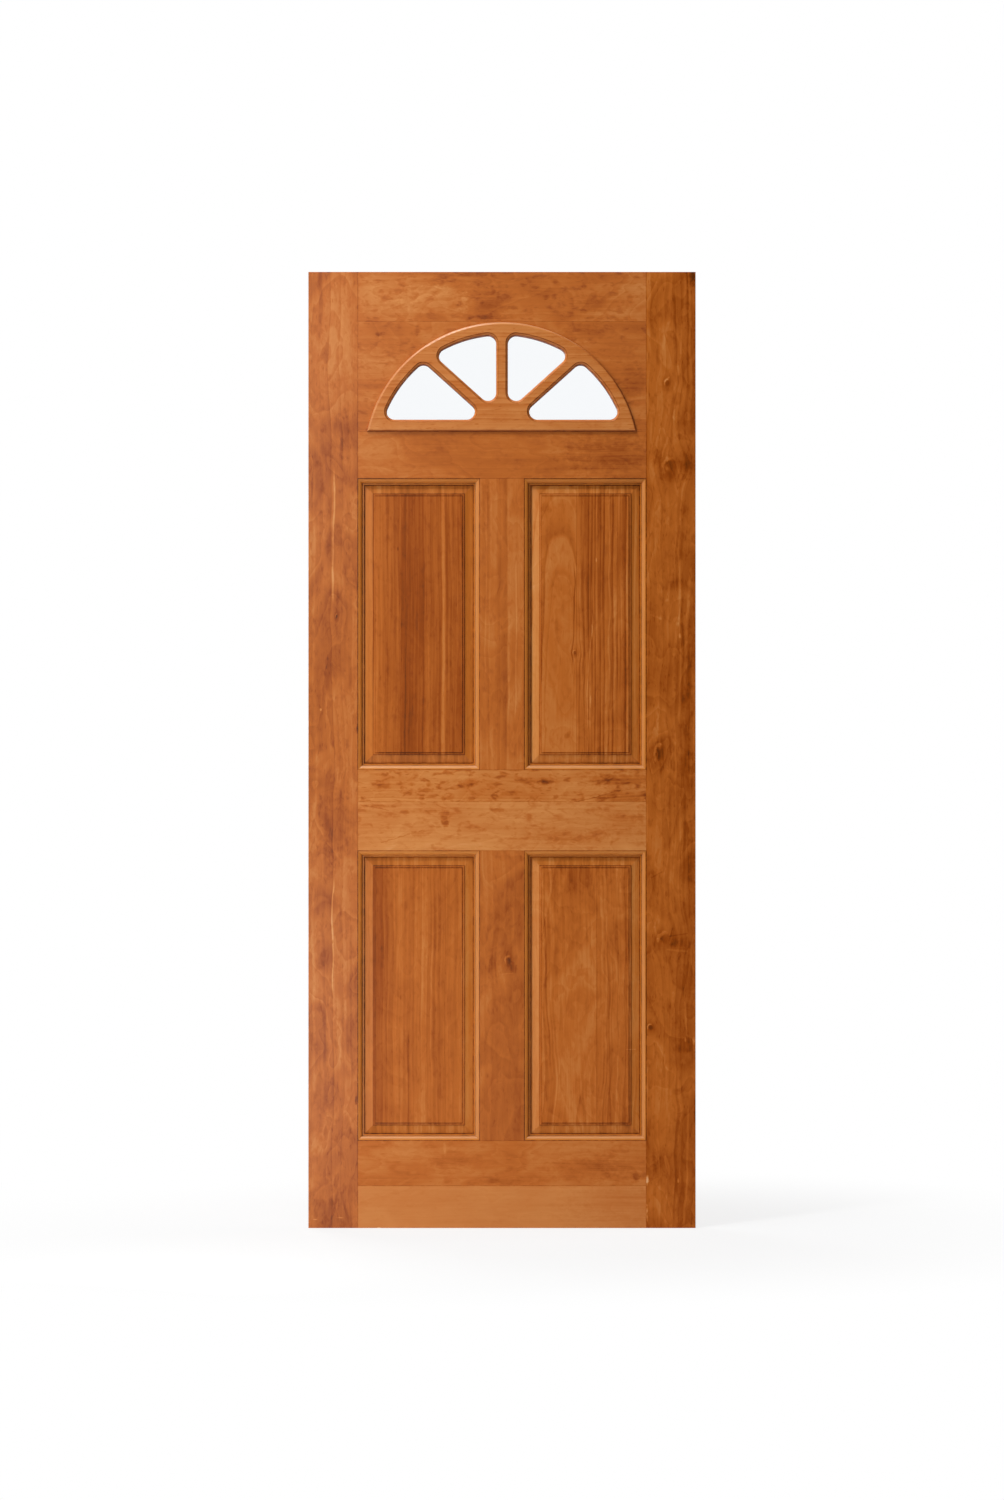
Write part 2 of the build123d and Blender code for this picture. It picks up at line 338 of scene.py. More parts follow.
def slantLineGroup():  # a crack or a slanting grain line between two points of the face
    group, given, result = newGroup("slantLine", [
        ("Board", "Vector", None), ("Rough", "Float", 0.5), ("Along", "Float", 0.0), ("Across", "Float", 0.0),
        ("Run", "Float", 0.05), ("Climb", "Float", 0.0), ("Width", "Float", 0.001),
    ], [("Mask", "Float")])
    parts = split(group, given["Board"])
    along = calc(group, "SUBTRACT", parts[0], given["Along"])
    wavy = calc(group, "MULTIPLY_ADD", given["Rough"], 0.007, -0.0035)
    across = calc(group, "ADD", calc(group, "SUBTRACT", parts[1], given["Across"]), wavy)
    square = calc(group, "MULTIPLY_ADD", given["Run"], given["Run"],
                  both(group, given["Climb"], given["Climb"]))
    dot = calc(group, "MULTIPLY_ADD", along, given["Run"], both(group, across, given["Climb"]))
    share = calc(group, "DIVIDE", dot, square, clamp=True)
    offAlong = calc(group, "SUBTRACT", along, both(group, share, given["Run"]))
    offAcross = calc(group, "SUBTRACT", across, both(group, share, given["Climb"]))
    away = calc(group, "SQRT", calc(group, "MULTIPLY_ADD", offAlong, offAlong,
                                    both(group, offAcross, offAcross)))
    ragged = calc(group, "ADD", calc(group, "DIVIDE", away, given["Width"]),
                  calc(group, "MULTIPLY_ADD", given["Rough"], 1.2, -0.6))
    feed(group, result["Mask"], fall(group, ragged, 0.2, 1.1))
    return group


lightSides = {"paintedHighlight": (-0.6, 0.8), "paintedShade": (0.9, -0.43)}  # which way the faces with the painted highlight and the painted shade face, across and up
stainLine = {  # half widths in metres of the lines in which stain gathers, and stripes a metre on end grain
    "quirk": 0.0013, "ovolo": 0.0013, "lip": 0.0018, "shoulder": 0.0012, "field": 0.0014, "seam": 0.0005,
    "endStripes": 55.0,
}
paneStep = {  # from where to where each begins or ends: metres below the frame's face, or in from its edge
    "quirkBegins": (0.0003, 0.0008), "quirkEnds": (0.0012, 0.0022), "bevel": (0.0042, 0.0056),
    "frameEdge": (0.004, 0.006), "paneSide": (0.008, 0.011), "shadeOffLitSide": -0.75,
}
jointLine = {"upright": (0.0004, 0.0013), "level": (0.0003, 0.0011), "runOut": 0.0005}  # metres


def facesToward(tree, across, up):
    facing = split(tree, put(tree, "ShaderNodeNewGeometry").outputs["Normal"])
    toward = calc(tree, "MULTIPLY_ADD", facing[0], across, calc(tree, "MULTIPLY", facing[2], up))
    return rise(tree, toward, 0.1, 0.5)


def mouldingStainAndShadingGroup():  # stain and painted shade in the mouldings and panel steps, and a painted highlight on moulded faces toward the light, from how far in a point lies
    group, given, result = newGroup("mouldingStainAndShading", [("Rough", "Float", 0.5)], [
        ("Lines", "Float"), ("Moulded", "Float"), ("Margin", "Float"), ("End Grain", "Float"),
        ("Painted Highlight", "Float")])
    x, y, z = split(group, put(group, "ShaderNodeTexCoord").outputs["Object"])
    fold = apart(group, x, leafCentre.x)
    sideways = calc(group, "MINIMUM", calc(group, "SUBTRACT", fold, halfMuntin),
                    calc(group, "SUBTRACT", halfSpan, fold))
    heights = [calc(group, "MINIMUM", calc(group, "SUBTRACT", z, low), calc(group, "SUBTRACT", high, z))
               for low, high in openingRows.values()]
    endways = calc(group, "MAXIMUM", *heights)
    inset = calc(group, "MINIMUM", sideways, endways)
    lip = moulding["width"]
    seam = stainLine["seam"]
    shoulder = lip + moulding["bevel"]
    edge = shoulder + moulding["tread"]
    endwise = rise(group, calc(group, "SUBTRACT", sideways, endways), 0.0, 0.0008)
    leftOfPanel = both(group, calc(group, "SIGN", calc(group, "SUBTRACT", x, leafCentre.x)),
                       calc(group, "SUBTRACT", (halfSpan + halfMuntin) / 2, fold))
    litLeftSteps = both(group, rise(group, leftOfPanel, 0.0, 0.001), calc(group, "SUBTRACT", 1.0, endwise))
    stepShare = calc(group, "MULTIPLY_ADD", litLeftSteps, -0.5, 0.85)  # painted light: the line on each panel's left step is weaker, as that step faces the light
    # the lines are partly stain gathered in the quirks and steps and partly painted shade in these recesses
    lines = 0.0
    for part, where, share in (("quirk", moulding["quirk"], 1.0), ("ovolo", moulding["ovolo"], 0.8),
                               ("lip", lip, 1.0), ("shoulder", shoulder, stepShare),
                               ("field", edge, stepShare)):
        width = stainLine[part]
        near = fall(group, apart(group, inset, where), width * 0.3, width)
        lines = calc(group, "MAXIMUM", lines, calc(group, "MULTIPLY", near, share))
    uneven = calc(group, "MULTIPLY_ADD", rise(group, given["Rough"], 0.3, 0.6), 0.5, 0.5)
    feed(group, result["Lines"], both(group, lines, uneven))
    moulded = both(group, rise(group, inset, 0.0, 0.0006), fall(group, inset, lip - seam, lip))
    feed(group, result["Moulded"], moulded)
    feed(group, result["Painted Highlight"], both(group, moulded, facesToward(group, *lightSides["paintedHighlight"])))
    margin = both(group, rise(group, inset, lip - seam, lip), fall(group, inset, shoulder - seam, shoulder))
    feed(group, result["Margin"], margin)
    endStripe = calc(group, "MULTIPLY", x, stainLine["endStripes"])
    stripes = put(group, "ShaderNodeTexNoise", {"W": endStripe, "Scale": 1.0, "Detail": 3.0},
                  noise_dimensions="1D").outputs[0]
    endGrain = both(group, rise(group, stripes, 0.4, 0.6), both(group, margin, endwise))
    feed(group, result["End Grain"], endGrain)
    return group


def paneRimShadingGroup():  # painted shade in the step and bevel round each pane, weaker on faces toward the light, painted shade on the fan frame's outer edge facing away from the light, and a painted highlight on edges facing it
    group, given, result = newGroup("paneRimShading", [("Rough", "Float", 0.5)],
                                    [("Mask", "Float"), ("Painted Highlight", "Float")])
    x, y, z = split(group, put(group, "ShaderNodeTexCoord").outputs["Object"])
    fromCentre = join(group, calc(group, "SUBTRACT", x, leafCentre.x), 0.0,
                      calc(group, "SUBTRACT", z, fanHigh.z - fanRadius))
    reach = put(group, "ShaderNodeVectorMath", {0: fromCentre}, operation="LENGTH").outputs["Value"]
    inset = calc(group, "MINIMUM", calc(group, "SUBTRACT", fanRadius, reach),
                 calc(group, "SUBTRACT", z, fanLow.z))
    sunk = calc(group, "SUBTRACT", -fanLow.y, calc(group, "ABSOLUTE", y))
    quirk = both(group, rise(group, sunk, *paneStep["quirkBegins"]),
                 fall(group, sunk, *paneStep["quirkEnds"]))
    inner = rise(group, sunk, *paneStep["bevel"])
    lines = calc(group, "MAXIMUM", quirk, inner)
    uneven = calc(group, "MULTIPLY_ADD", rise(group, given["Rough"], 0.3, 0.6), 0.4, 0.6)
    outer = fall(group, inset, *paneStep["frameEdge"])
    within = rise(group, inset, *paneStep["paneSide"])
    paintedHighlight = facesToward(group, *lightSides["paintedHighlight"])
    rimShadeKept = calc(group, "MULTIPLY_ADD", paintedHighlight, paneStep["shadeOffLitSide"], 1.0)
    rims = both(group, both(group, lines, uneven), rimShadeKept)
    edgeShade = both(group, outer, facesToward(group, *lightSides["paintedShade"]))
    feed(group, result["Mask"], calc(group, "MAXIMUM", both(group, rims, within), edgeShade))
    highlightEdges = calc(group, "MAXIMUM", outer, both(group, inner, within))
    feed(group, result["Painted Highlight"], both(group, highlightEdges, paintedHighlight))
    return group


def jointStainGroup():  # broken dark lines where boards meet
    group, given, result = newGroup("jointStain", [("Rough", "Float", 0.5)], [("Mask", "Float")])
    x, y, z = split(group, put(group, "ShaderNodeTexCoord").outputs["Object"])
    fold = apart(group, x, leafCentre.x)
    mask = fall(group, apart(group, fold, halfSpan), *jointLine["upright"])
    inRails = fall(group, fold, halfSpan, halfSpan + jointLine["runOut"])
    inMuntin = fall(group, fold, halfMuntin, halfMuntin + jointLine["runOut"])
    muntinEnds = [height for row in openingRows.values() for height in row]
    for heights, reach in ((glueHeights, inRails), (muntinEnds, inMuntin)):
        for height in heights:
            line = both(group, fall(group, apart(group, z, height), *jointLine["level"]), reach)
            mask = calc(group, "MAXIMUM", mask, line)
    broken = calc(group, "MULTIPLY_ADD", rise(group, given["Rough"], 0.35, 0.6), 0.75, 0.25)
    feed(group, result["Mask"], both(group, mask, broken))
    return group


stainTones = {0.0: "#E4B282", 0.25: "#CF8746", 0.5: "#BA6522", 0.75: "#954509", 1.0: "#5E2A04"}


def stainColourGroup():  # from pale, thin stain to deep, dark stain
    group, given, result = newGroup("stainColour", [("Depth", "Float", 0.5)], [("Colour", "Color")])
    ramp = put(group, "ShaderNodeValToRGB", {"Fac": given["Depth"]})
    stops = ramp.color_ramp.elements
    while len(stops) < len(stainTones):
        stops.new(0.5)
    for stop, (position, tone) in zip(stops, stainTones.items()):
        stop.position = position
        stop.color = paint(tone)
    feed(group, result["Colour"], ramp.outputs[0])
    return group


boardAxes = boardAxesGroup()
grainFlow = grainFlowGroup()
growthRings = growthRingsGroup()
fibres = fibresGroup()
stainClouds = stainCloudsGroup()
knot = knotGroup()
blotch = blotchGroup()
streak = streakGroup()
grainBand = grainBandGroup()
slantLine = slantLineGroup()
mouldingStainAndShading = mouldingStainAndShadingGroup()
paneRimShading = paneRimShadingGroup()
jointStain = jointStainGroup()
stainColour = stainColourGroup()
print("shared effects ready")


# What a board looks like unless it says otherwise, in metres on the door.
# Depth is how dark the stain is, 0 to 1, and a mark's depth is added to its board's.
# Streaks: across, half width, from, to, depth. Bands: across from, to, depth.
# Blotches: along, across, half length, half breadth, depth. Knots: along, across, size, stretch.
# Slants: along, across, run, climb, half width, depth. No rings show nearer the heart than plainHeart.
roundRings = {"bluntness": 2.0, "unevenness": 1.8, "fadesOutward": 0.0, "plainHeart": 0.0}
commonBoard = {
    **roundRings, "upright": 1.0, "seed": 1.0, "depth": 0.5, "sway": 0.02, "heartAcross": 0.4,
    "heartDepth": 0.2, "heartTilt": 0.0, "ringWidth": 0.007, "band": 0.07, "year": 0.06, "cloud": 0.16,
    "fibre": 0.05, "mottle": 0.06, "fleck": 0.06, "gloss": 0.27, "streaks": [], "bands": [],
    "blotches": [], "slants": [], "knots": [], "staves": [],
}

hingeStile = {
    "seed": 2.0, "depth": 0.64, "gloss": 0.38, "sway": 0.035, "heartAcross": -0.05, "heartDepth": 0.06,
    "heartTilt": 0.01, "ringWidth": 0.012, "cloud": 0.24, "band": 0.08, "year": 0.08, "mottle": 0.09,
    "fleck": 0.1,
    "streaks": [
        (0.024, 0.006, 1.9, 2.03, 0.1), (0.052, 0.0024, 1.35, 1.59, -0.24),
        (0.061, 0.004, 1.28, 1.36, 0.07), (0.09, 0.005, 1.16, 1.34, 0.08),
        (0.053, 0.0024, 0.52, 0.72, -0.22), (0.064, 0.008, 0.36, 0.48, -0.1),
        (0.09, 0.004, 0.3, 0.6, 0.1), (0.012, 0.004, 0.9, 1.6, -0.08), (0.012, 0.004, 0.3, 0.7, -0.08),
        (0.083, 0.005, 0.38, 0.5, 0.08), (0.034, 0.004, 0.25, 0.62, 0.06),
    ],
    "blotches": [
        (1.689, 0.073, 0.06, 0.025, 0.08), (0.85, 0.054, 0.08, 0.05, 0.1), (0.78, 0.03, 0.05, 0.03, 0.08),
        (0.643, 0.079, 0.025, 0.018, 0.1), (1.55, 0.02, 0.08, 0.02, 0.06),
        (1.062, 0.104, 0.012, 0.003, 0.3), (0.275, 0.102, 0.012, 0.004, 0.3),
        (0.018, 0.015, 0.0014, 0.006, -0.22), (0.022, 0.066, 0.0016, 0.009, -0.25),
        # the wide pale patches near the top (1.92) and the foot (0.15) are painted sheen
        (1.102, 0.026, 0.003, 0.002, -0.25), (1.92, 0.06, 0.12, 0.05, -0.06),
        (0.15, 0.03, 0.14, 0.05, -0.05), (1.715, 0.062, 0.012, 0.005, 0.1),
        (1.7, 0.035, 0.015, 0.006, 0.08), (1.66, 0.07, 0.02, 0.006, 0.1),
        (1.655, 0.03, 0.015, 0.008, 0.08), (1.63, 0.05, 0.02, 0.006, 0.09),
        (2.0, 0.02, 0.01, 0.004, 0.08),
    ],
    "slants": [
        (0.0, 0.046, 0.075, 0.016, 0.004, 0.1), (0.0, 0.09, 0.075, -0.02, 0.004, 0.1),
        (0.0, 0.06, 0.05, 0.006, 0.003, 0.06),
    ],
    "knots": [(1.3, 0.06, 0.003, 2.0)],
}

lockStile = {
    "seed": 5.0, "depth": 0.665, "gloss": 0.08, "sway": 0.05, "heartAcross": 0.9, "heartDepth": 0.05,
    "heartTilt": 0.012, "ringWidth": 0.014, "cloud": 0.19, "year": 0.1, "band": 0.08, "mottle": 0.08,
    "fleck": 0.1,
    "streaks": [
        (0.804, 0.004, 1.72, 2.02, -0.1), (0.774, 0.0025, 1.7, 1.97, 0.1),
        (0.808, 0.008, 0.95, 1.21, 0.05), (0.79, 0.0025, 1.3, 1.6, -0.1), (0.8, 0.004, 0.65, 0.9, 0.08),
        (0.772, 0.004, 0.65, 0.9, -0.06), (0.8, 0.003, 0.02, 0.25, -0.1), (0.78, 0.004, 0.05, 0.3, 0.06),
        (0.789, 0.0025, 1.1, 1.3, -0.1),
    ],
    "blotches": [
        (2.02, 0.816, 0.02, 0.018, 0.22), (1.642, 0.74, 0.025, 0.016, 0.1),
        (1.625, 0.8, 0.028, 0.018, 0.13), (1.596, 0.772, 0.014, 0.032, 0.09),
        (1.457, 0.797, 0.035, 0.026, 0.07), (0.985, 0.79, 0.03, 0.03, 0.08),
        (1.1, 0.808, 0.08, 0.014, 0.08), (0.739, 0.738, 0.035, 0.018, 0.08),
        (0.607, 0.793, 0.014, 0.028, 0.07), (0.39, 0.797, 0.022, 0.022, 0.12),
        (0.254, 0.823, 0.03, 0.004, 0.18), (0.122, 0.742, 0.04, 0.016, 0.1),
        (0.103, 0.719, 0.012, 0.005, -0.4), (0.031, 0.719, 0.022, 0.004, -0.3),
        (0.1, 0.786, 0.006, 0.0025, -0.3), (1.258, 0.789, 0.006, 0.003, -0.25),
        (0.4, 0.801, 0.006, 0.0025, -0.3), (1.615, 0.763, 0.007, 0.006, -0.22),
        (0.9, 0.76, 0.06, 0.03, -0.05), (0.52, 0.76, 0.05, 0.03, -0.04), (1.27, 0.793, 0.05, 0.006, 0.09),
        (1.2, 0.811, 0.12, 0.006, 0.08), (0.603, 0.788, 0.012, 0.02, 0.04),
        (0.397, 0.819, 0.008, 0.004, -0.22), (0.53, 0.806, 0.06, 0.018, 0.09),
        (0.8, 0.806, 0.08, 0.016, 0.07),
    ],
    "slants": [
        (1.418, 0.792, -0.134, -0.008, 0.0045, -0.1), (1.285, 0.784, -0.066, -0.007, 0.0045, -0.1),
        (1.219, 0.777, -0.089, -0.002, 0.0045, -0.08), (1.4, 0.813, -0.154, -0.0115, 0.0045, -0.08),
        (1.246, 0.802, -0.116, -0.002, 0.0045, -0.08), (1.399, 0.775, -0.065, -0.0133, 0.0045, -0.08),
        (1.334, 0.7614, -0.0385, -0.0136, 0.0045, -0.09), (1.2955, 0.748, 0.0075, -0.019, 0.003, -0.07),
        (2.025, 0.773, -0.102, -0.008, 0.0045, -0.07), (1.923, 0.7647, -0.074, -0.0165, 0.0045, -0.07),
        (2.025, 0.803, -0.165, -0.011, 0.0045, -0.08), (1.832, 0.7865, -0.109, -0.011, 0.0045, -0.08),
        (1.723, 0.7756, -0.055, -0.0138, 0.0045, -0.08), (0.62, 0.766, 0.006, 0.04, 0.0018, 0.1),
        (0.592, 0.764, -0.004, 0.04, 0.003, -0.1), (1.08, 0.742, -0.09, 0.008, 0.0045, -0.08),
        (0.9, 0.79, -0.14, 0.006, 0.0045, -0.08), (0.86, 0.806, -0.2, 0.004, 0.002, 0.08),
        (0.5, 0.775, -0.09, -0.006, 0.0045, -0.07), (0.34, 0.76, -0.12, 0.005, 0.0045, -0.07),
        (1.64, 0.752, 0.025, 0.006, 0.003, -0.13), (1.8, 0.757, 0.008, 0.01, 0.003, -0.17),
        (0.99, 0.735, 0.03, 0.012, 0.003, -0.12), (0.61, 0.742, 0.03, -0.006, 0.003, -0.1),
        (0.615, 0.768, 0.022, 0.006, 0.002, 0.12), (0.745, 0.73, 0.012, 0.022, 0.0025, 0.1),
        (0.48, 0.8, -0.07, 0.004, 0.0025, -0.12),
    ],
    "knots": [
        (1.795, 0.763, 0.007, 1.4), (1.622, 0.768, 0.016, 1.0), (1.008, 0.746, 0.012, 1.8),
        (0.615, 0.757, 0.014, 1.1), (0.426, 0.727, 0.007, 1.3),
    ],
}

topRailUpper = {
    "upright": 0.0, "seed": 8.0, "depth": 0.58, "heartAcross": 1.85, "heartDepth": 0.1, "ringWidth": 0.02,
    "cloud": 0.19, "fleck": 0.08, "band": 0.04, "mottle": 0.15, "gloss": 0.36,
    "blotches": [
        (0.26, 1.971, 0.09, 0.035, -0.1), (0.355, 2.03, 0.05, 0.01, 0.16),
        (0.385, 1.96, 0.04, 0.055, 0.1), (0.143, 1.933, 0.01, 0.004, 0.21),
        (0.494, 1.988, 0.05, 0.012, 0.09), (0.621, 1.965, 0.07, 0.02, 0.09),
        (0.13, 1.99, 0.03, 0.04, -0.07), (0.457, 2.005, 0.01, 0.005, 0.16),
        (0.526, 2.011, 0.008, 0.006, 0.13), (0.587, 2.003, 0.009, 0.007, 0.16),
        (0.507, 1.977, 0.009, 0.006, 0.16), (0.48, 2.0, 0.01, 0.004, 0.1),
        (0.683, 1.977, 0.012, 0.008, 0.12), (0.587, 1.948, 0.008, 0.006, 0.14),
        (0.557, 1.943, 0.008, 0.008, 0.13), (0.598, 1.934, 0.012, 0.004, 0.13),
        (0.655, 1.933, 0.008, 0.004, 0.13), (0.674, 1.933, 0.006, 0.004, 0.13),
        (0.436, 1.956, 0.014, 0.006, 0.12), (0.33, 1.965, 0.012, 0.03, -0.1),
        (0.39, 1.935, 0.05, 0.006, 0.09),
    ],
}

topRailFan = {
    "upright": 0.0, "seed": 9.0, "depth": 0.58, "heartAcross": 1.2, "heartDepth": 0.1, "ringWidth": 0.012,
    "cloud": 0.14, "fleck": 0.08, "band": 0.05, "fibre": 0.05, "mottle": 0.12, "gloss": 0.36,
    "blotches": [
        (0.232, 1.907, 0.008, 0.012, 0.2), (0.149, 1.899, 0.012, 0.005, 0.21),
        (0.58, 1.9, 0.06, 0.02, 0.11), (0.15, 1.85, 0.05, 0.03, -0.08), (0.13, 1.76, 0.025, 0.02, -0.06),
        (0.69, 1.8, 0.03, 0.06, 0.08),
    ],
}

friezeRail = {
    "upright": 0.0, "seed": 11.0, "depth": 0.6, "heartAcross": 1.0, "heartDepth": 0.2, "ringWidth": 0.02,
    "cloud": 0.15, "fleck": 0.04, "band": 0.03, "year": 0.03, "gloss": 0.3,
    "blotches": [
        (0.27, 1.66, 0.04, 0.02, 0.06), (0.64, 1.642, 0.12, 0.05, 0.14), (0.45, 1.65, 0.06, 0.03, -0.03),
        (0.15, 1.64, 0.06, 0.05, -0.05),
    ],
}

lockRailUpper = {
    "upright": 0.0, "seed": 13.0, "depth": 0.49, "heartAcross": 1.3, "heartDepth": 0.1,
    "ringWidth": 0.009, "cloud": 0.12, "fleck": 0.16, "band": 0.07, "mottle": 0.22, "gloss": 0.22,
    "blotches": [
        (0.334, 0.947, 0.03, 0.01, 0.17), (0.668, 0.952, 0.09, 0.016, 0.18),
        (0.25, 0.93, 0.02, 0.006, 0.15), (0.43, 0.925, 0.03, 0.006, 0.15),
        (0.665, 0.915, 0.07, 0.012, 0.14), (0.16, 0.94, 0.02, 0.008, 0.12),
        (0.3, 0.915, 0.015, 0.006, 0.15), (0.48, 0.95, 0.05, 0.008, 0.11),
        (0.194, 0.946, 0.008, 0.005, 0.15), (0.22, 0.944, 0.008, 0.006, 0.18),
        (0.256, 0.943, 0.008, 0.006, 0.15), (0.286, 0.947, 0.007, 0.004, 0.15),
        (0.324, 0.944, 0.01, 0.006, 0.18), (0.347, 0.943, 0.007, 0.004, 0.18),
        (0.398, 0.944, 0.014, 0.006, 0.18), (0.502, 0.947, 0.014, 0.007, 0.18),
        (0.242, 0.914, 0.008, 0.006, 0.18), (0.287, 0.913, 0.005, 0.007, 0.18),
        (0.346, 0.912, 0.01, 0.006, 0.2), (0.396, 0.915, 0.009, 0.005, 0.18),
        (0.442, 0.913, 0.01, 0.005, 0.17), (0.628, 0.913, 0.016, 0.004, 0.15),
    ],
    "slants": [
        (0.574, 0.9065, 0.09, 0.024, 0.0012, 0.2), (0.66, 0.93, 0.05, 0.006, 0.001, 0.12),
        (0.12, 0.928, 0.2, 0.006, 0.001, 0.1),
    ],
    "streaks": [(0.958, 0.003, 0.4, 0.75, 0.05)],
}

lockRailLower = {
    "upright": 0.0, "seed": 14.0, "depth": 0.42, "heartAcross": 0.4, "heartDepth": 0.15,
    "ringWidth": 0.014, "cloud": 0.13, "fleck": 0.07, "band": 0.05, "year": 0.04, "mottle": 0.13,
    "blotches": [
        (0.29, 0.872, 0.01, 0.024, 0.15), (0.15, 0.896, 0.04, 0.005, 0.18),
        (0.55, 0.83, 0.1, 0.014, 0.09), (0.235, 0.838, 0.02, 0.008, 0.11), (0.66, 0.86, 0.06, 0.03, 0.08),
        (0.203, 0.884, 0.012, 0.006, 0.14), (0.26, 0.886, 0.012, 0.005, 0.12),
        (0.402, 0.888, 0.02, 0.005, 0.14), (0.468, 0.874, 0.012, 0.01, 0.12),
        (0.29, 0.86, 0.01, 0.01, 0.15), (0.6, 0.888, 0.014, 0.005, 0.12),
        (0.7, 0.872, 0.014, 0.012, 0.11),
    ],
    "slants": [
        (0.155, 0.819, 0.06, 0.018, 0.0016, 0.14), (0.21, 0.838, 0.03, 0.006, 0.0014, 0.1),
        (0.11, 0.9, 0.06, -0.012, 0.0016, 0.12), (0.272, 0.9, 0.02, -0.008, 0.002, 0.1),
    ],
}

bottomRailUpper = {
    "upright": 0.0, "seed": 16.0, "depth": 0.555, "heartAcross": 0.9, "heartDepth": 0.1,
    "ringWidth": 0.016, "cloud": 0.12, "band": 0.03, "year": 0.03, "fibre": 0.04, "gloss": 0.22,
    "blotches": [
        (0.302, 0.145, 0.05, 0.025, 0.08), (0.6, 0.13, 0.1, 0.03, 0.08), (0.42, 0.1, 0.06, 0.008, 0.07),
        (0.21, 0.17, 0.06, 0.02, -0.05), (0.695, 0.112, 0.01, 0.014, 0.14),
        (0.29, 0.165, 0.004, 0.016, -0.1), (0.68, 0.14, 0.08, 0.05, 0.06),
    ],
}

bottomRailLower = {
    "upright": 0.0, "seed": 17.0, "depth": 0.415, "heartAcross": 0.5, "heartDepth": 0.2,
    "ringWidth": 0.018, "cloud": 0.06, "band": 0.015, "year": 0.015, "fleck": 0.01, "mottle": 0.03,
    "fibre": 0.03,
    "blotches": [(0.15, 0.0, 0.006, 0.0025, -0.3), (0.66, 0.05, 0.12, 0.06, 0.06)],
}

upperMuntin = {
    "seed": 19.0, "depth": 0.6, "heartAcross": 0.1, "heartDepth": 0.1, "ringWidth": 0.011, "cloud": 0.14,
    "year": 0.06, "fibre": 0.06,
    "streaks": [
        (0.44, 0.0025, 1.1, 1.4, -0.12), (0.425, 0.003, 1.0, 1.3, -0.06),
        (0.378, 0.002, 1.2, 1.55, -0.08),
    ],
    "blotches": [(1.546, 0.377, 0.05, 0.012, 0.1), (1.1, 0.395, 0.06, 0.012, 0.05)],
}

lowerMuntin = {
    "seed": 21.0, "depth": 0.62, "heartAcross": 0.7, "heartDepth": 0.1, "ringWidth": 0.016, "cloud": 0.18,
    "sway": 0.05, "band": 0.05,
    "blotches": [
        (0.556, 0.394, 0.04, 0.016, 0.1), (0.66, 0.41, 0.05, 0.03, 0.05),
        (0.553, 0.436, 0.012, 0.01, 0.14),
    ],
    "slants": [(0.54, 0.413, 0.001, 0.02, 0.0014, -0.1), (0.57, 0.42, 0.018, 0.004, 0.0016, 0.14)],
    "knots": [(0.568, 0.426, 0.008, 1.7)],
}

upperLeftPanel = {
    "seed": 23.0, "depth": 0.68, "gloss": 0.2, "sway": 0.012, "heartAcross": -1.0, "heartDepth": 0.05,
    "ringWidth": 0.0105, "band": 0.08, "year": 0.07, "cloud": 0.06, "fibre": 0.13,
    "bands": [
        (0.196, 0.219, 0.13), (0.219, 0.234, 0.1), (0.234, 0.2465, 0.12), (0.2595, 0.281, 0.08),
        (0.2915, 0.34, 0.07), (0.138, 0.168, -0.07), (0.169, 0.187, 0.05), (0.206, 0.209, 0.05),
    ],
    "streaks": [
        (0.256, 0.004, 0.9, 1.7, -0.05), (0.2865, 0.005, 0.9, 1.7, -0.12), (0.24, 0.002, 0.9, 1.7, -0.05),
    ],
    "blotches": [
        (1.444, 0.19, 0.005, 0.002, 0.16), (1.2, 0.298, 0.012, 0.006, 0.1),
        (1.06, 0.17, 0.1, 0.03, -0.05),
    ],
}

upperRightPanel = {
    "seed": 25.0, "depth": 0.58, "gloss": 0.17, "sway": 0.045, "heartAcross": 0.534,
    "heartDepth": -0.1309, "heartTilt": 0.1265, "ringWidth": 0.0105, "bluntness": 3.0, "unevenness": 0.0,
    "fadesOutward": 1.0, "plainHeart": 0.031, "band": 0.22, "year": 0.06, "cloud": 0.11, "fibre": 0.04,
    "staves": [{
        **roundRings, "from": 0.57, "seed": 26.0, "depth": 0.655, "sway": 0.008, "heartAcross": -1.2,
        "heartDepth": 0.05, "heartTilt": 0.0, "ringWidth": 0.0088, "band": 0.26, "year": 0.16,
        "fibre": 0.17,
    }],
    "streaks": [
        (0.563, 0.0018, 1.215, 1.39, 0.24), (0.6, 0.0015, 1.0, 1.35, -0.14),
        (0.642, 0.003, 0.95, 1.6, -0.12), (0.59, 0.002, 0.95, 1.2, -0.1), (0.66, 0.006, 0.95, 1.6, 0.06),
    ],
    "bands": [(0.576, 0.594, 0.07), (0.6035, 0.621, -0.06), (0.6465, 0.653, -0.06)],
    "blotches": [
        (1.53, 0.504, 0.012, 0.012, 0.12), (1.047, 0.549, 0.008, 0.01, 0.12),
        (1.42, 0.612, 0.005, 0.0016, -0.3), (1.27, 0.603, 0.02, 0.0016, -0.25),
        (1.12, 0.6, 0.015, 0.0016, -0.22), (1.28, 0.53, 0.02, 0.012, 0.05),
    ],
    "knots": [(1.223, 0.566, 0.0045, 1.3)],
}

lowerLeftPanel = {
    "seed": 27.0, "depth": 0.62, "gloss": 0.2, "sway": 0.02, "heartAcross": -0.9, "heartDepth": 0.05,
    "ringWidth": 0.012, "band": 0.06, "year": 0.06, "cloud": 0.09, "fibre": 0.1,
    "bands": [
        (0.12, 0.158, 0.15), (0.158, 0.168, 0.13), (0.168, 0.179, 0.07), (0.266, 0.271, 0.04),
        (0.274, 0.281, 0.04), (0.284, 0.34, -0.02),
    ],
    "streaks": [
        (0.262, 0.003, 0.1, 0.9, -0.06), (0.213, 0.0018, 0.2, 0.4, 0.14), (0.195, 0.012, 0.1, 0.9, -0.04),
        (0.235, 0.016, 0.1, 0.9, -0.05), (0.2906, 0.0025, 0.1, 0.9, 0.1),
    ],
}

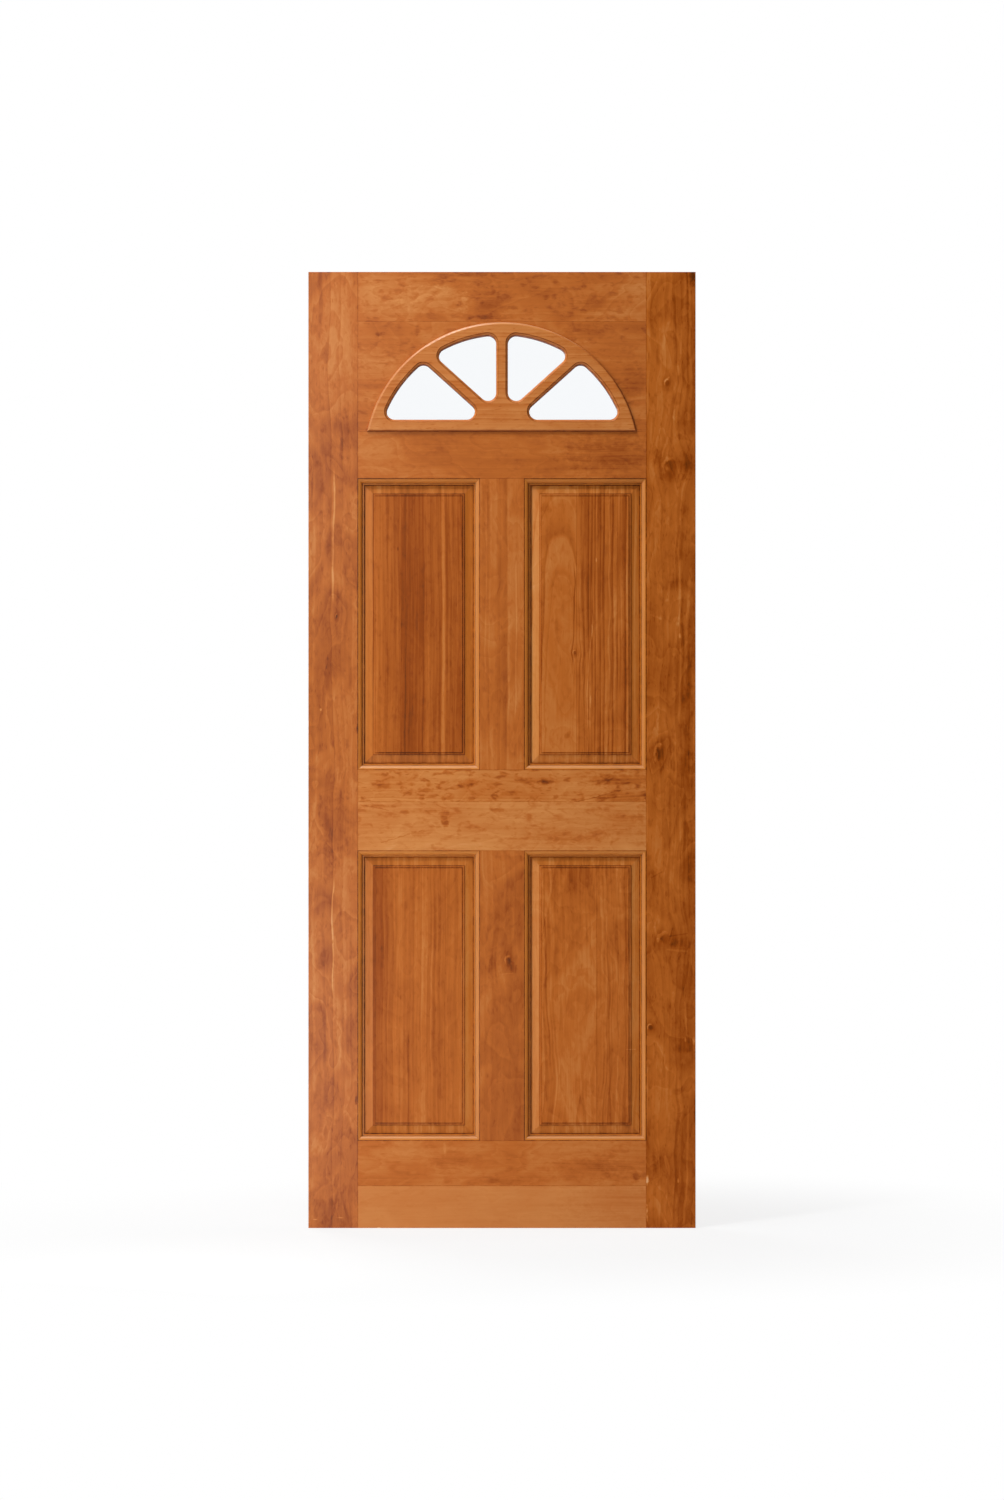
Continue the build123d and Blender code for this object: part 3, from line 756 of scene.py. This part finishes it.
lowerRightPanel = {
    "seed": 29.0, "depth": 0.57, "gloss": 0.17, "sway": 0.05, "heartAcross": 0.58, "heartDepth": -0.01,
    "heartTilt": 0.12, "ringWidth": 0.014, "band": 0.1, "year": 0.05, "cloud": 0.14, "fibre": 0.09,
    "staves": [{
        "from": 0.613, "seed": 30.0, "depth": 0.57, "sway": 0.05, "heartAcross": 1.2, "heartDepth": 0.05,
        "heartTilt": 0.0, "ringWidth": 0.012, "band": 0.12, "year": 0.08, "fibre": 0.11,
    }],
    "bands": [(0.657, 0.677, 0.09)],
    "streaks": [
        (0.508, 0.003, 0.2, 0.75, 0.1), (0.52, 0.003, 0.2, 0.8, -0.07), (0.64, 0.003, 0.2, 0.6, 0.1),
    ],
    "blotches": [
        (0.3, 0.583, 0.03, 0.02, 0.08), (0.379, 0.685, 0.0012, 0.01, -0.22),
        (0.76, 0.58, 0.05, 0.09, 0.09),
    ],
    "slants": [(0.62, 0.498, 0.04, 0.006, 0.0016, 0.14)],
}

fanFrame = {
    "upright": 0.0, "seed": 31.0, "depth": 0.5, "gloss": 0.36, "sway": 0.012, "heartAcross": 1.0,
    "heartDepth": 0.05, "ringWidth": 0.008, "band": 0.14, "year": 0.06, "cloud": 0.07, "fleck": 0.12,
    "fibre": 0.06,
    "streaks": [(1.867, 0.0008, 0.1, 0.75, 0.12), (1.763, 0.0008, 0.1, 0.75, 0.12)],
}

boards = {
    "hinge_stile": hingeStile, "lock_stile": lockStile, "top_rail_upper_board": topRailUpper,
    "top_rail_fan_board": topRailFan, "frieze_rail": friezeRail, "lock_rail_upper_board": lockRailUpper,
    "lock_rail_lower_board": lockRailLower, "bottom_rail_upper_board": bottomRailUpper,
    "bottom_rail_lower_board": bottomRailLower, "upper_muntin": upperMuntin, "lower_muntin": lowerMuntin,
    "upper_left_panel": upperLeftPanel, "upper_right_panel": upperRightPanel,
    "lower_left_panel": lowerLeftPanel, "lower_right_panel": lowerRightPanel, "front_fan_frame": fanFrame,
    "back_fan_frame": {**fanFrame, "seed": 33.0},
}

varnish = {
    "roughness": 0.42, "roughnessSpread": 0.1, "rimRoughness": 0.5,
    "relief": 0.15, "reliefHeight": 0.0006, "fibreRelief": 0.5, "ringRelief": 0.5,
    "coat": 0.7, "coatRoughness": 0.3,  # the coat lies on the edges with the painted highlight
}
# stain depths of the marks, with the painted shade of the lines and pane rims, the golden tint painted on
# sloped faces and the painted highlight colour
stainAndPaintedLight = {
    "grain": 1.25, "lines": 0.42, "joint": 0.22, "endGrain": 0.16, "margin": -0.13, "paneRim": 0.45,
    "knotHalo": 0.15, "knotCore": 0.15, "knotCurl": -0.24, "seam": 0.12, "golden": "#D38230",
    "goldenMoulded": 0.6, "goldenMargin": 0.27, "paintedHighlight": "#D3A374", "paintedHighlightShare": 0.28,
    "fibrous": 0.9, "plain": 0.55,  # how far blotches follow the fibres
}
staveSeam = {"blend": 0.0006, "line": (0.0004, 0.0012)}  # metres to each side of the seam


def total(tree, shares):  # adds up masks, each times its share, with the mask's middle taken off
    depth = 0.0
    for mask, share, middle in shares:
        depth = calc(tree, "MULTIPLY_ADD", calc(tree, "SUBTRACT", mask, middle), share, depth)
    return depth


def grainOf(tree, own, position, push, cloud):  # stain depth of one stave, and its relief
    flow = place(tree, grainFlow, {"Board": position, "Seed": own["seed"], "Sway": own["sway"], "Push": push})
    rings = place(tree, growthRings, {
        "Flowing": flow["Flowing"], "Seed": own["seed"], "Heart Across": own["heartAcross"],
        "Heart Depth": own["heartDepth"], "Heart Tilt": own["heartTilt"], "Ring Width": own["ringWidth"],
        "Bluntness": own["bluntness"], "Unevenness": own["unevenness"], "Fades Outward": own["fadesOutward"],
        "Plain Heart": own["plainHeart"]})
    fibre = place(tree, fibres, {"Flowing": flow["Flowing"], "Seed": own["seed"]})
    depth = total(tree, [(rings["Band"], own["band"], 0.25), (rings["Year"], own["year"], 0.5),
                         (fibre["Streak"], own["fibre"], 0.5), (fibre["Fleck"], own["fleck"], 0.0),
                         (cloud["Cloud"], own["cloud"], 0.5), (cloud["Mottle"], own["mottle"], 0.2)])
    relief = calc(tree, "MULTIPLY_ADD", fibre["Streak"], varnish["fibreRelief"],
                  calc(tree, "MULTIPLY", rings["Band"], varnish["ringRelief"]))
    return calc(tree, "MULTIPLY_ADD", depth, stainAndPaintedLight["grain"], own["depth"]), relief, flow, fibre


def woodMaterial(name, board):
    material = bpy.data.materials.new(f"{name}_wood")
    material.use_nodes = True
    tree = material.node_tree
    shader = tree.nodes["Principled BSDF"]
    position = place(tree, boardAxes, {"Upright": board["upright"]})["Board"]
    rough = place(tree, grainFlow, {"Board": position})["Rough"]
    cloud = place(tree, stainClouds, {"Board": position, "Seed": board["seed"]})

    core = 0.0
    halo = 0.0
    curl = 0.0
    push = 0.0
    for along, across, size, stretching in board["knots"]:
        found = place(tree, knot, {"Board": position, "Rough": rough, "Along": along, "Across": across,
                                   "Size": size, "Stretch": stretching})
        core = calc(tree, "MAXIMUM", core, found["Core"])
        halo = calc(tree, "MAXIMUM", halo, found["Halo"])
        curl = calc(tree, "MAXIMUM", curl, found["Curl"])
        push = calc(tree, "ADD", push, found["Push"])

    depth, relief, flow, fibre = grainOf(tree, board, position, push, cloud)
    for stave in board["staves"]:
        other = grainOf(tree, {**board, **stave}, position, push, cloud)[0]
        across = split(tree, position)[1]
        start = stave["from"]
        beyond = rise(tree, across, start - staveSeam["blend"], start + staveSeam["blend"])
        seam = fall(tree, apart(tree, across, start), *staveSeam["line"])
        depth = calc(tree, "MULTIPLY_ADD", calc(tree, "SUBTRACT", other, depth), beyond, depth)
        depth = calc(tree, "MULTIPLY_ADD", seam, stainAndPaintedLight["seam"], depth)

    marks = []
    for across, width, start, end, share in board["streaks"]:
        line = place(tree, streak, {"Flowing": flow["Flowing"], "Across": across, "Width": width,
                                    "From": start, "To": end})
        marks.append((line["Mask"], share, 0.0))
    for low, high, share in board["bands"]:
        stripe = place(tree, grainBand, {"Flowing": flow["Flowing"], "From": low, "To": high})
        marks.append((stripe["Mask"], share, 0.0))
    for along, across, run, climb, width, share in board["slants"]:
        slant = place(tree, slantLine, {"Board": position, "Rough": rough, "Along": along, "Across": across,
                                        "Run": run, "Climb": climb, "Width": width})
        marks.append((slant["Mask"], share, 0.0))
    patches = []
    for along, across, length, breadth, share in board["blotches"]:
        patch = place(tree, blotch, {"Board": position, "Rough": rough, "Along": along, "Across": across,
                                     "Length": length, "Breadth": breadth})
        patches.append((patch["Mask"], share, 0.0))
    if board["knots"]:
        patches += [(halo, stainAndPaintedLight["knotHalo"], 0.0), (core, stainAndPaintedLight["knotCore"], 0.0),
                    (curl, stainAndPaintedLight["knotCurl"], 0.0)]
    fibrous = calc(tree, "MULTIPLY_ADD", fibre["Streak"], stainAndPaintedLight["fibrous"], stainAndPaintedLight["plain"])
    depth = calc(tree, "MULTIPLY_ADD", total(tree, patches), fibrous, depth)
    edges = place(tree, mouldingStainAndShading, {"Rough": rough})
    joints = place(tree, jointStain, {"Rough": rough})
    marks += [(edges["Lines"], stainAndPaintedLight["lines"], 0.0), (joints["Mask"], stainAndPaintedLight["joint"], 0.0),
              (edges["End Grain"], stainAndPaintedLight["endGrain"], 0.4), (edges["Margin"], stainAndPaintedLight["margin"], 0.0)]
    paintedHighlight = edges["Painted Highlight"]
    if name.endswith("fan_frame"):
        rims = place(tree, paneRimShading, {"Rough": rough})
        # painted shade in the pane rims and on the fan frame's shaded outer edge
        marks.append((rims["Mask"], stainAndPaintedLight["paneRim"], 0.0))
        paintedHighlight = rims["Painted Highlight"]
    depth = calc(tree, "ADD", depth, total(tree, marks))

    colour = place(tree, stainColour, {"Depth": depth})["Colour"]
    # golden tint painted on moulded faces and panel bevels, standing in for how the light falls on these
    # sloped faces
    paintedSlopeTint = calc(tree, "ADD", calc(tree, "MULTIPLY", edges["Moulded"], stainAndPaintedLight["goldenMoulded"]),
                  calc(tree, "MULTIPLY", edges["Margin"], stainAndPaintedLight["goldenMargin"]))
    paintedSlopeTint = both(tree, paintedSlopeTint, calc(tree, "SUBTRACT", 1.0, edges["Lines"]))
    colour = blend(tree, paintedSlopeTint, colour, paint(stainAndPaintedLight["golden"]))
    # painted highlight: faces turned toward the light are blended toward a pale tan
    pale = calc(tree, "MULTIPLY", paintedHighlight, stainAndPaintedLight["paintedHighlightShare"])
    feed(tree, shader.inputs["Base Color"], blend(tree, pale, colour, paint(stainAndPaintedLight["paintedHighlight"])))

    roughness = calc(tree, "MULTIPLY_ADD", cloud["Mottle"], varnish["roughnessSpread"], varnish["roughness"])
    if name.endswith("fan_frame"):
        roughness = calc(tree, "MULTIPLY_ADD", rims["Mask"], varnish["rimRoughness"], roughness)
    feed(tree, shader.inputs["Roughness"], roughness)
    shader.inputs["Specular IOR Level"].default_value = board["gloss"]
    feed(tree, shader.inputs["Coat Weight"], calc(tree, "MULTIPLY", paintedHighlight, varnish["coat"]))
    shader.inputs["Coat Roughness"].default_value = varnish["coatRoughness"]
    bump = put(tree, "ShaderNodeBump", {"Strength": varnish["relief"], "Distance": varnish["reliefHeight"],
                                        "Height": relief})
    feed(tree, shader.inputs["Normal"], bump.outputs[0])
    return material


for name, own in boards.items():
    nodes[name].material_slots[0].material = woodMaterial(name, {**commonBoard, **own})
print("wood finished on", len(boards), "boards")


glass = {"tint": "#FAFCFE", "roughness": 0.02, "bend": 1.45}


def glassMaterial():
    material = bpy.data.materials.new("fan_glass_clear")
    material.use_nodes = True
    shader = material.node_tree.nodes["Principled BSDF"]
    shader.inputs["Base Color"].default_value = paint(glass["tint"])
    shader.inputs["Roughness"].default_value = glass["roughness"]
    shader.inputs["IOR"].default_value = glass["bend"]
    shader.inputs["Transmission Weight"].default_value = 1.0
    return material


nodes["fan_glass"].material_slots[0].material = glassMaterial()
print("glass finished")


# Studio: white floor and backdrop, soft light from the upper left
studio = {
    "floorHalf": 6.0, "floorGrey": 0.75, "floorRoughness": 0.9, "ambient": 0.09, "glossyWhite": 0.1,
    "shadowShare": 0.2, "shadowFrom": 0.5, "shadowTo": 1.5,
    "cameraDistance": 10.0, "pictureHeight": 3.188,  # metres of the picture's height at the door's face
}
sun = {"direction": (-0.42, -0.5, 0.8), "strength": 1.1, "spread": 6.0}
lamps = {
    "upperLeftSoftbox": {"place": (-0.35, -1.1, 1.8), "aim": (0.25, 0.0, 1.75),
                         "size": (0.6, 0.9), "power": 6.0},
    "lowerLeftSoftbox": {"place": (-0.35, -1.1, 0.3), "aim": (0.25, 0.0, 0.3),
                         "size": (0.6, 0.9), "power": 7.2},
    "overheadSoftbox": {"place": (-0.3, -0.8, 3.7), "aim": (0.41, 0.0, 1.0),
                        "size": (1.8, 1.0), "power": 38.0},
    "rightSoftbox": {"place": (2.4, 0.5, 1.5), "aim": (0.82, 0.0, 1.0),
                     "size": (1.0, 1.6), "power": 16.0},
    "backSoftbox": {"place": (-1.0, 2.6, 1.0), "aim": (0.41, 0.0, 1.0),
                    "size": (1.4, 1.9), "power": 66.0},
}


def seenRays(tree):
    path = put(tree, "ShaderNodeLightPath").outputs
    glossy = calc(tree, "MULTIPLY", path["Is Glossy Ray"], studio["glossyWhite"])
    through = calc(tree, "MAXIMUM", glossy, path["Is Transmission Ray"])
    return calc(tree, "MAXIMUM", path["Is Camera Ray"], through)


def makeFloor():
    half = studio["floorHalf"]
    mesh = bpy.data.meshes.new("studioFloor")
    corners = [(leafCentre.x + sx * half, sy * half, 0) for sx, sy in ((-1, -1), (1, -1), (1, 1), (-1, 1))]
    mesh.from_pydata(corners, [], [(0, 1, 2, 3)])
    floor = bpy.data.objects.new("studioFloor", mesh)
    bpy.context.scene.collection.objects.link(floor)
    material = bpy.data.materials.new("studioFloorWhite")
    material.use_nodes = True
    tree = material.node_tree
    shader = tree.nodes["Principled BSDF"]
    shader.inputs["Base Color"].default_value = (*[studio["floorGrey"]] * 3, 1)
    shader.inputs["Roughness"].default_value = studio["floorRoughness"]
    x, y, z = split(tree, put(tree, "ShaderNodeTexCoord").outputs["Object"])
    fromDoor = join(tree, calc(tree, "SUBTRACT", x, leafCentre.x), y, 0.0)
    away = put(tree, "ShaderNodeVectorMath", {0: fromDoor}, operation="LENGTH").outputs["Value"]
    clear = rise(tree, away, studio["shadowFrom"], studio["shadowTo"])
    white = calc(tree, "MULTIPLY_ADD", clear, studio["shadowShare"], 1.0 - studio["shadowShare"])
    glow = put(tree, "ShaderNodeEmission", {"Color": (1, 1, 1, 1), "Strength": 1.0})
    mixer = put(tree, "ShaderNodeMixShader")
    feed(tree, mixer.inputs[0], both(tree, seenRays(tree), white))
    feed(tree, mixer.inputs[1], shader.outputs[0])
    feed(tree, mixer.inputs[2], glow.outputs[0])
    feed(tree, tree.nodes["Material Output"].inputs["Surface"], mixer.outputs[0])
    mesh.materials.append(material)


def makeWorld():
    world = bpy.data.worlds.new("studioWorld")
    bpy.context.scene.world = world
    world.use_nodes = True
    tree = world.node_tree
    background = tree.nodes["Background"]
    background.inputs["Color"].default_value = (1, 1, 1, 1)
    feed(tree, background.inputs["Strength"], calc(tree, "MAXIMUM", seenRays(tree), studio["ambient"]))


def makeLamp(name, lamp):
    data = bpy.data.lights.new(name, "AREA")
    data.shape = "RECTANGLE"
    data.size, data.size_y = lamp["size"]
    data.energy = lamp["power"]
    light = bpy.data.objects.new(name, data)
    light.location = lamp["place"]
    light.rotation_euler = (Vector(lamp["aim"]) - Vector(lamp["place"])).to_track_quat("-Z", "Y").to_euler()
    bpy.context.scene.collection.objects.link(light)


def makeSun():
    data = bpy.data.lights.new("highSun", "SUN")
    data.energy = sun["strength"]
    data.angle = math.radians(sun["spread"])
    light = bpy.data.objects.new("highSun", data)
    light.rotation_euler = Vector(sun["direction"]).to_track_quat("Z", "Y").to_euler()
    bpy.context.scene.collection.objects.link(light)


def makeCamera():
    data = bpy.data.cameras.new("photoCamera")
    data.sensor_width = 36.0
    toFace = studio["cameraDistance"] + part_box("hinge_stile")[0].y
    data.lens = data.sensor_width * toFace / studio["pictureHeight"]
    camera = bpy.data.objects.new("photoCamera", data)
    camera.location = (leafCentre.x, -studio["cameraDistance"], leafCentre.z)
    camera.rotation_euler = (math.radians(90), 0, 0)
    bpy.context.scene.collection.objects.link(camera)
    bpy.context.scene.camera = camera


makeFloor()
makeWorld()
makeSun()
for name, lamp in lamps.items():
    makeLamp(name, lamp)
makeCamera()
bpy.context.scene.view_settings.view_transform = "Standard"
print("studio ready")
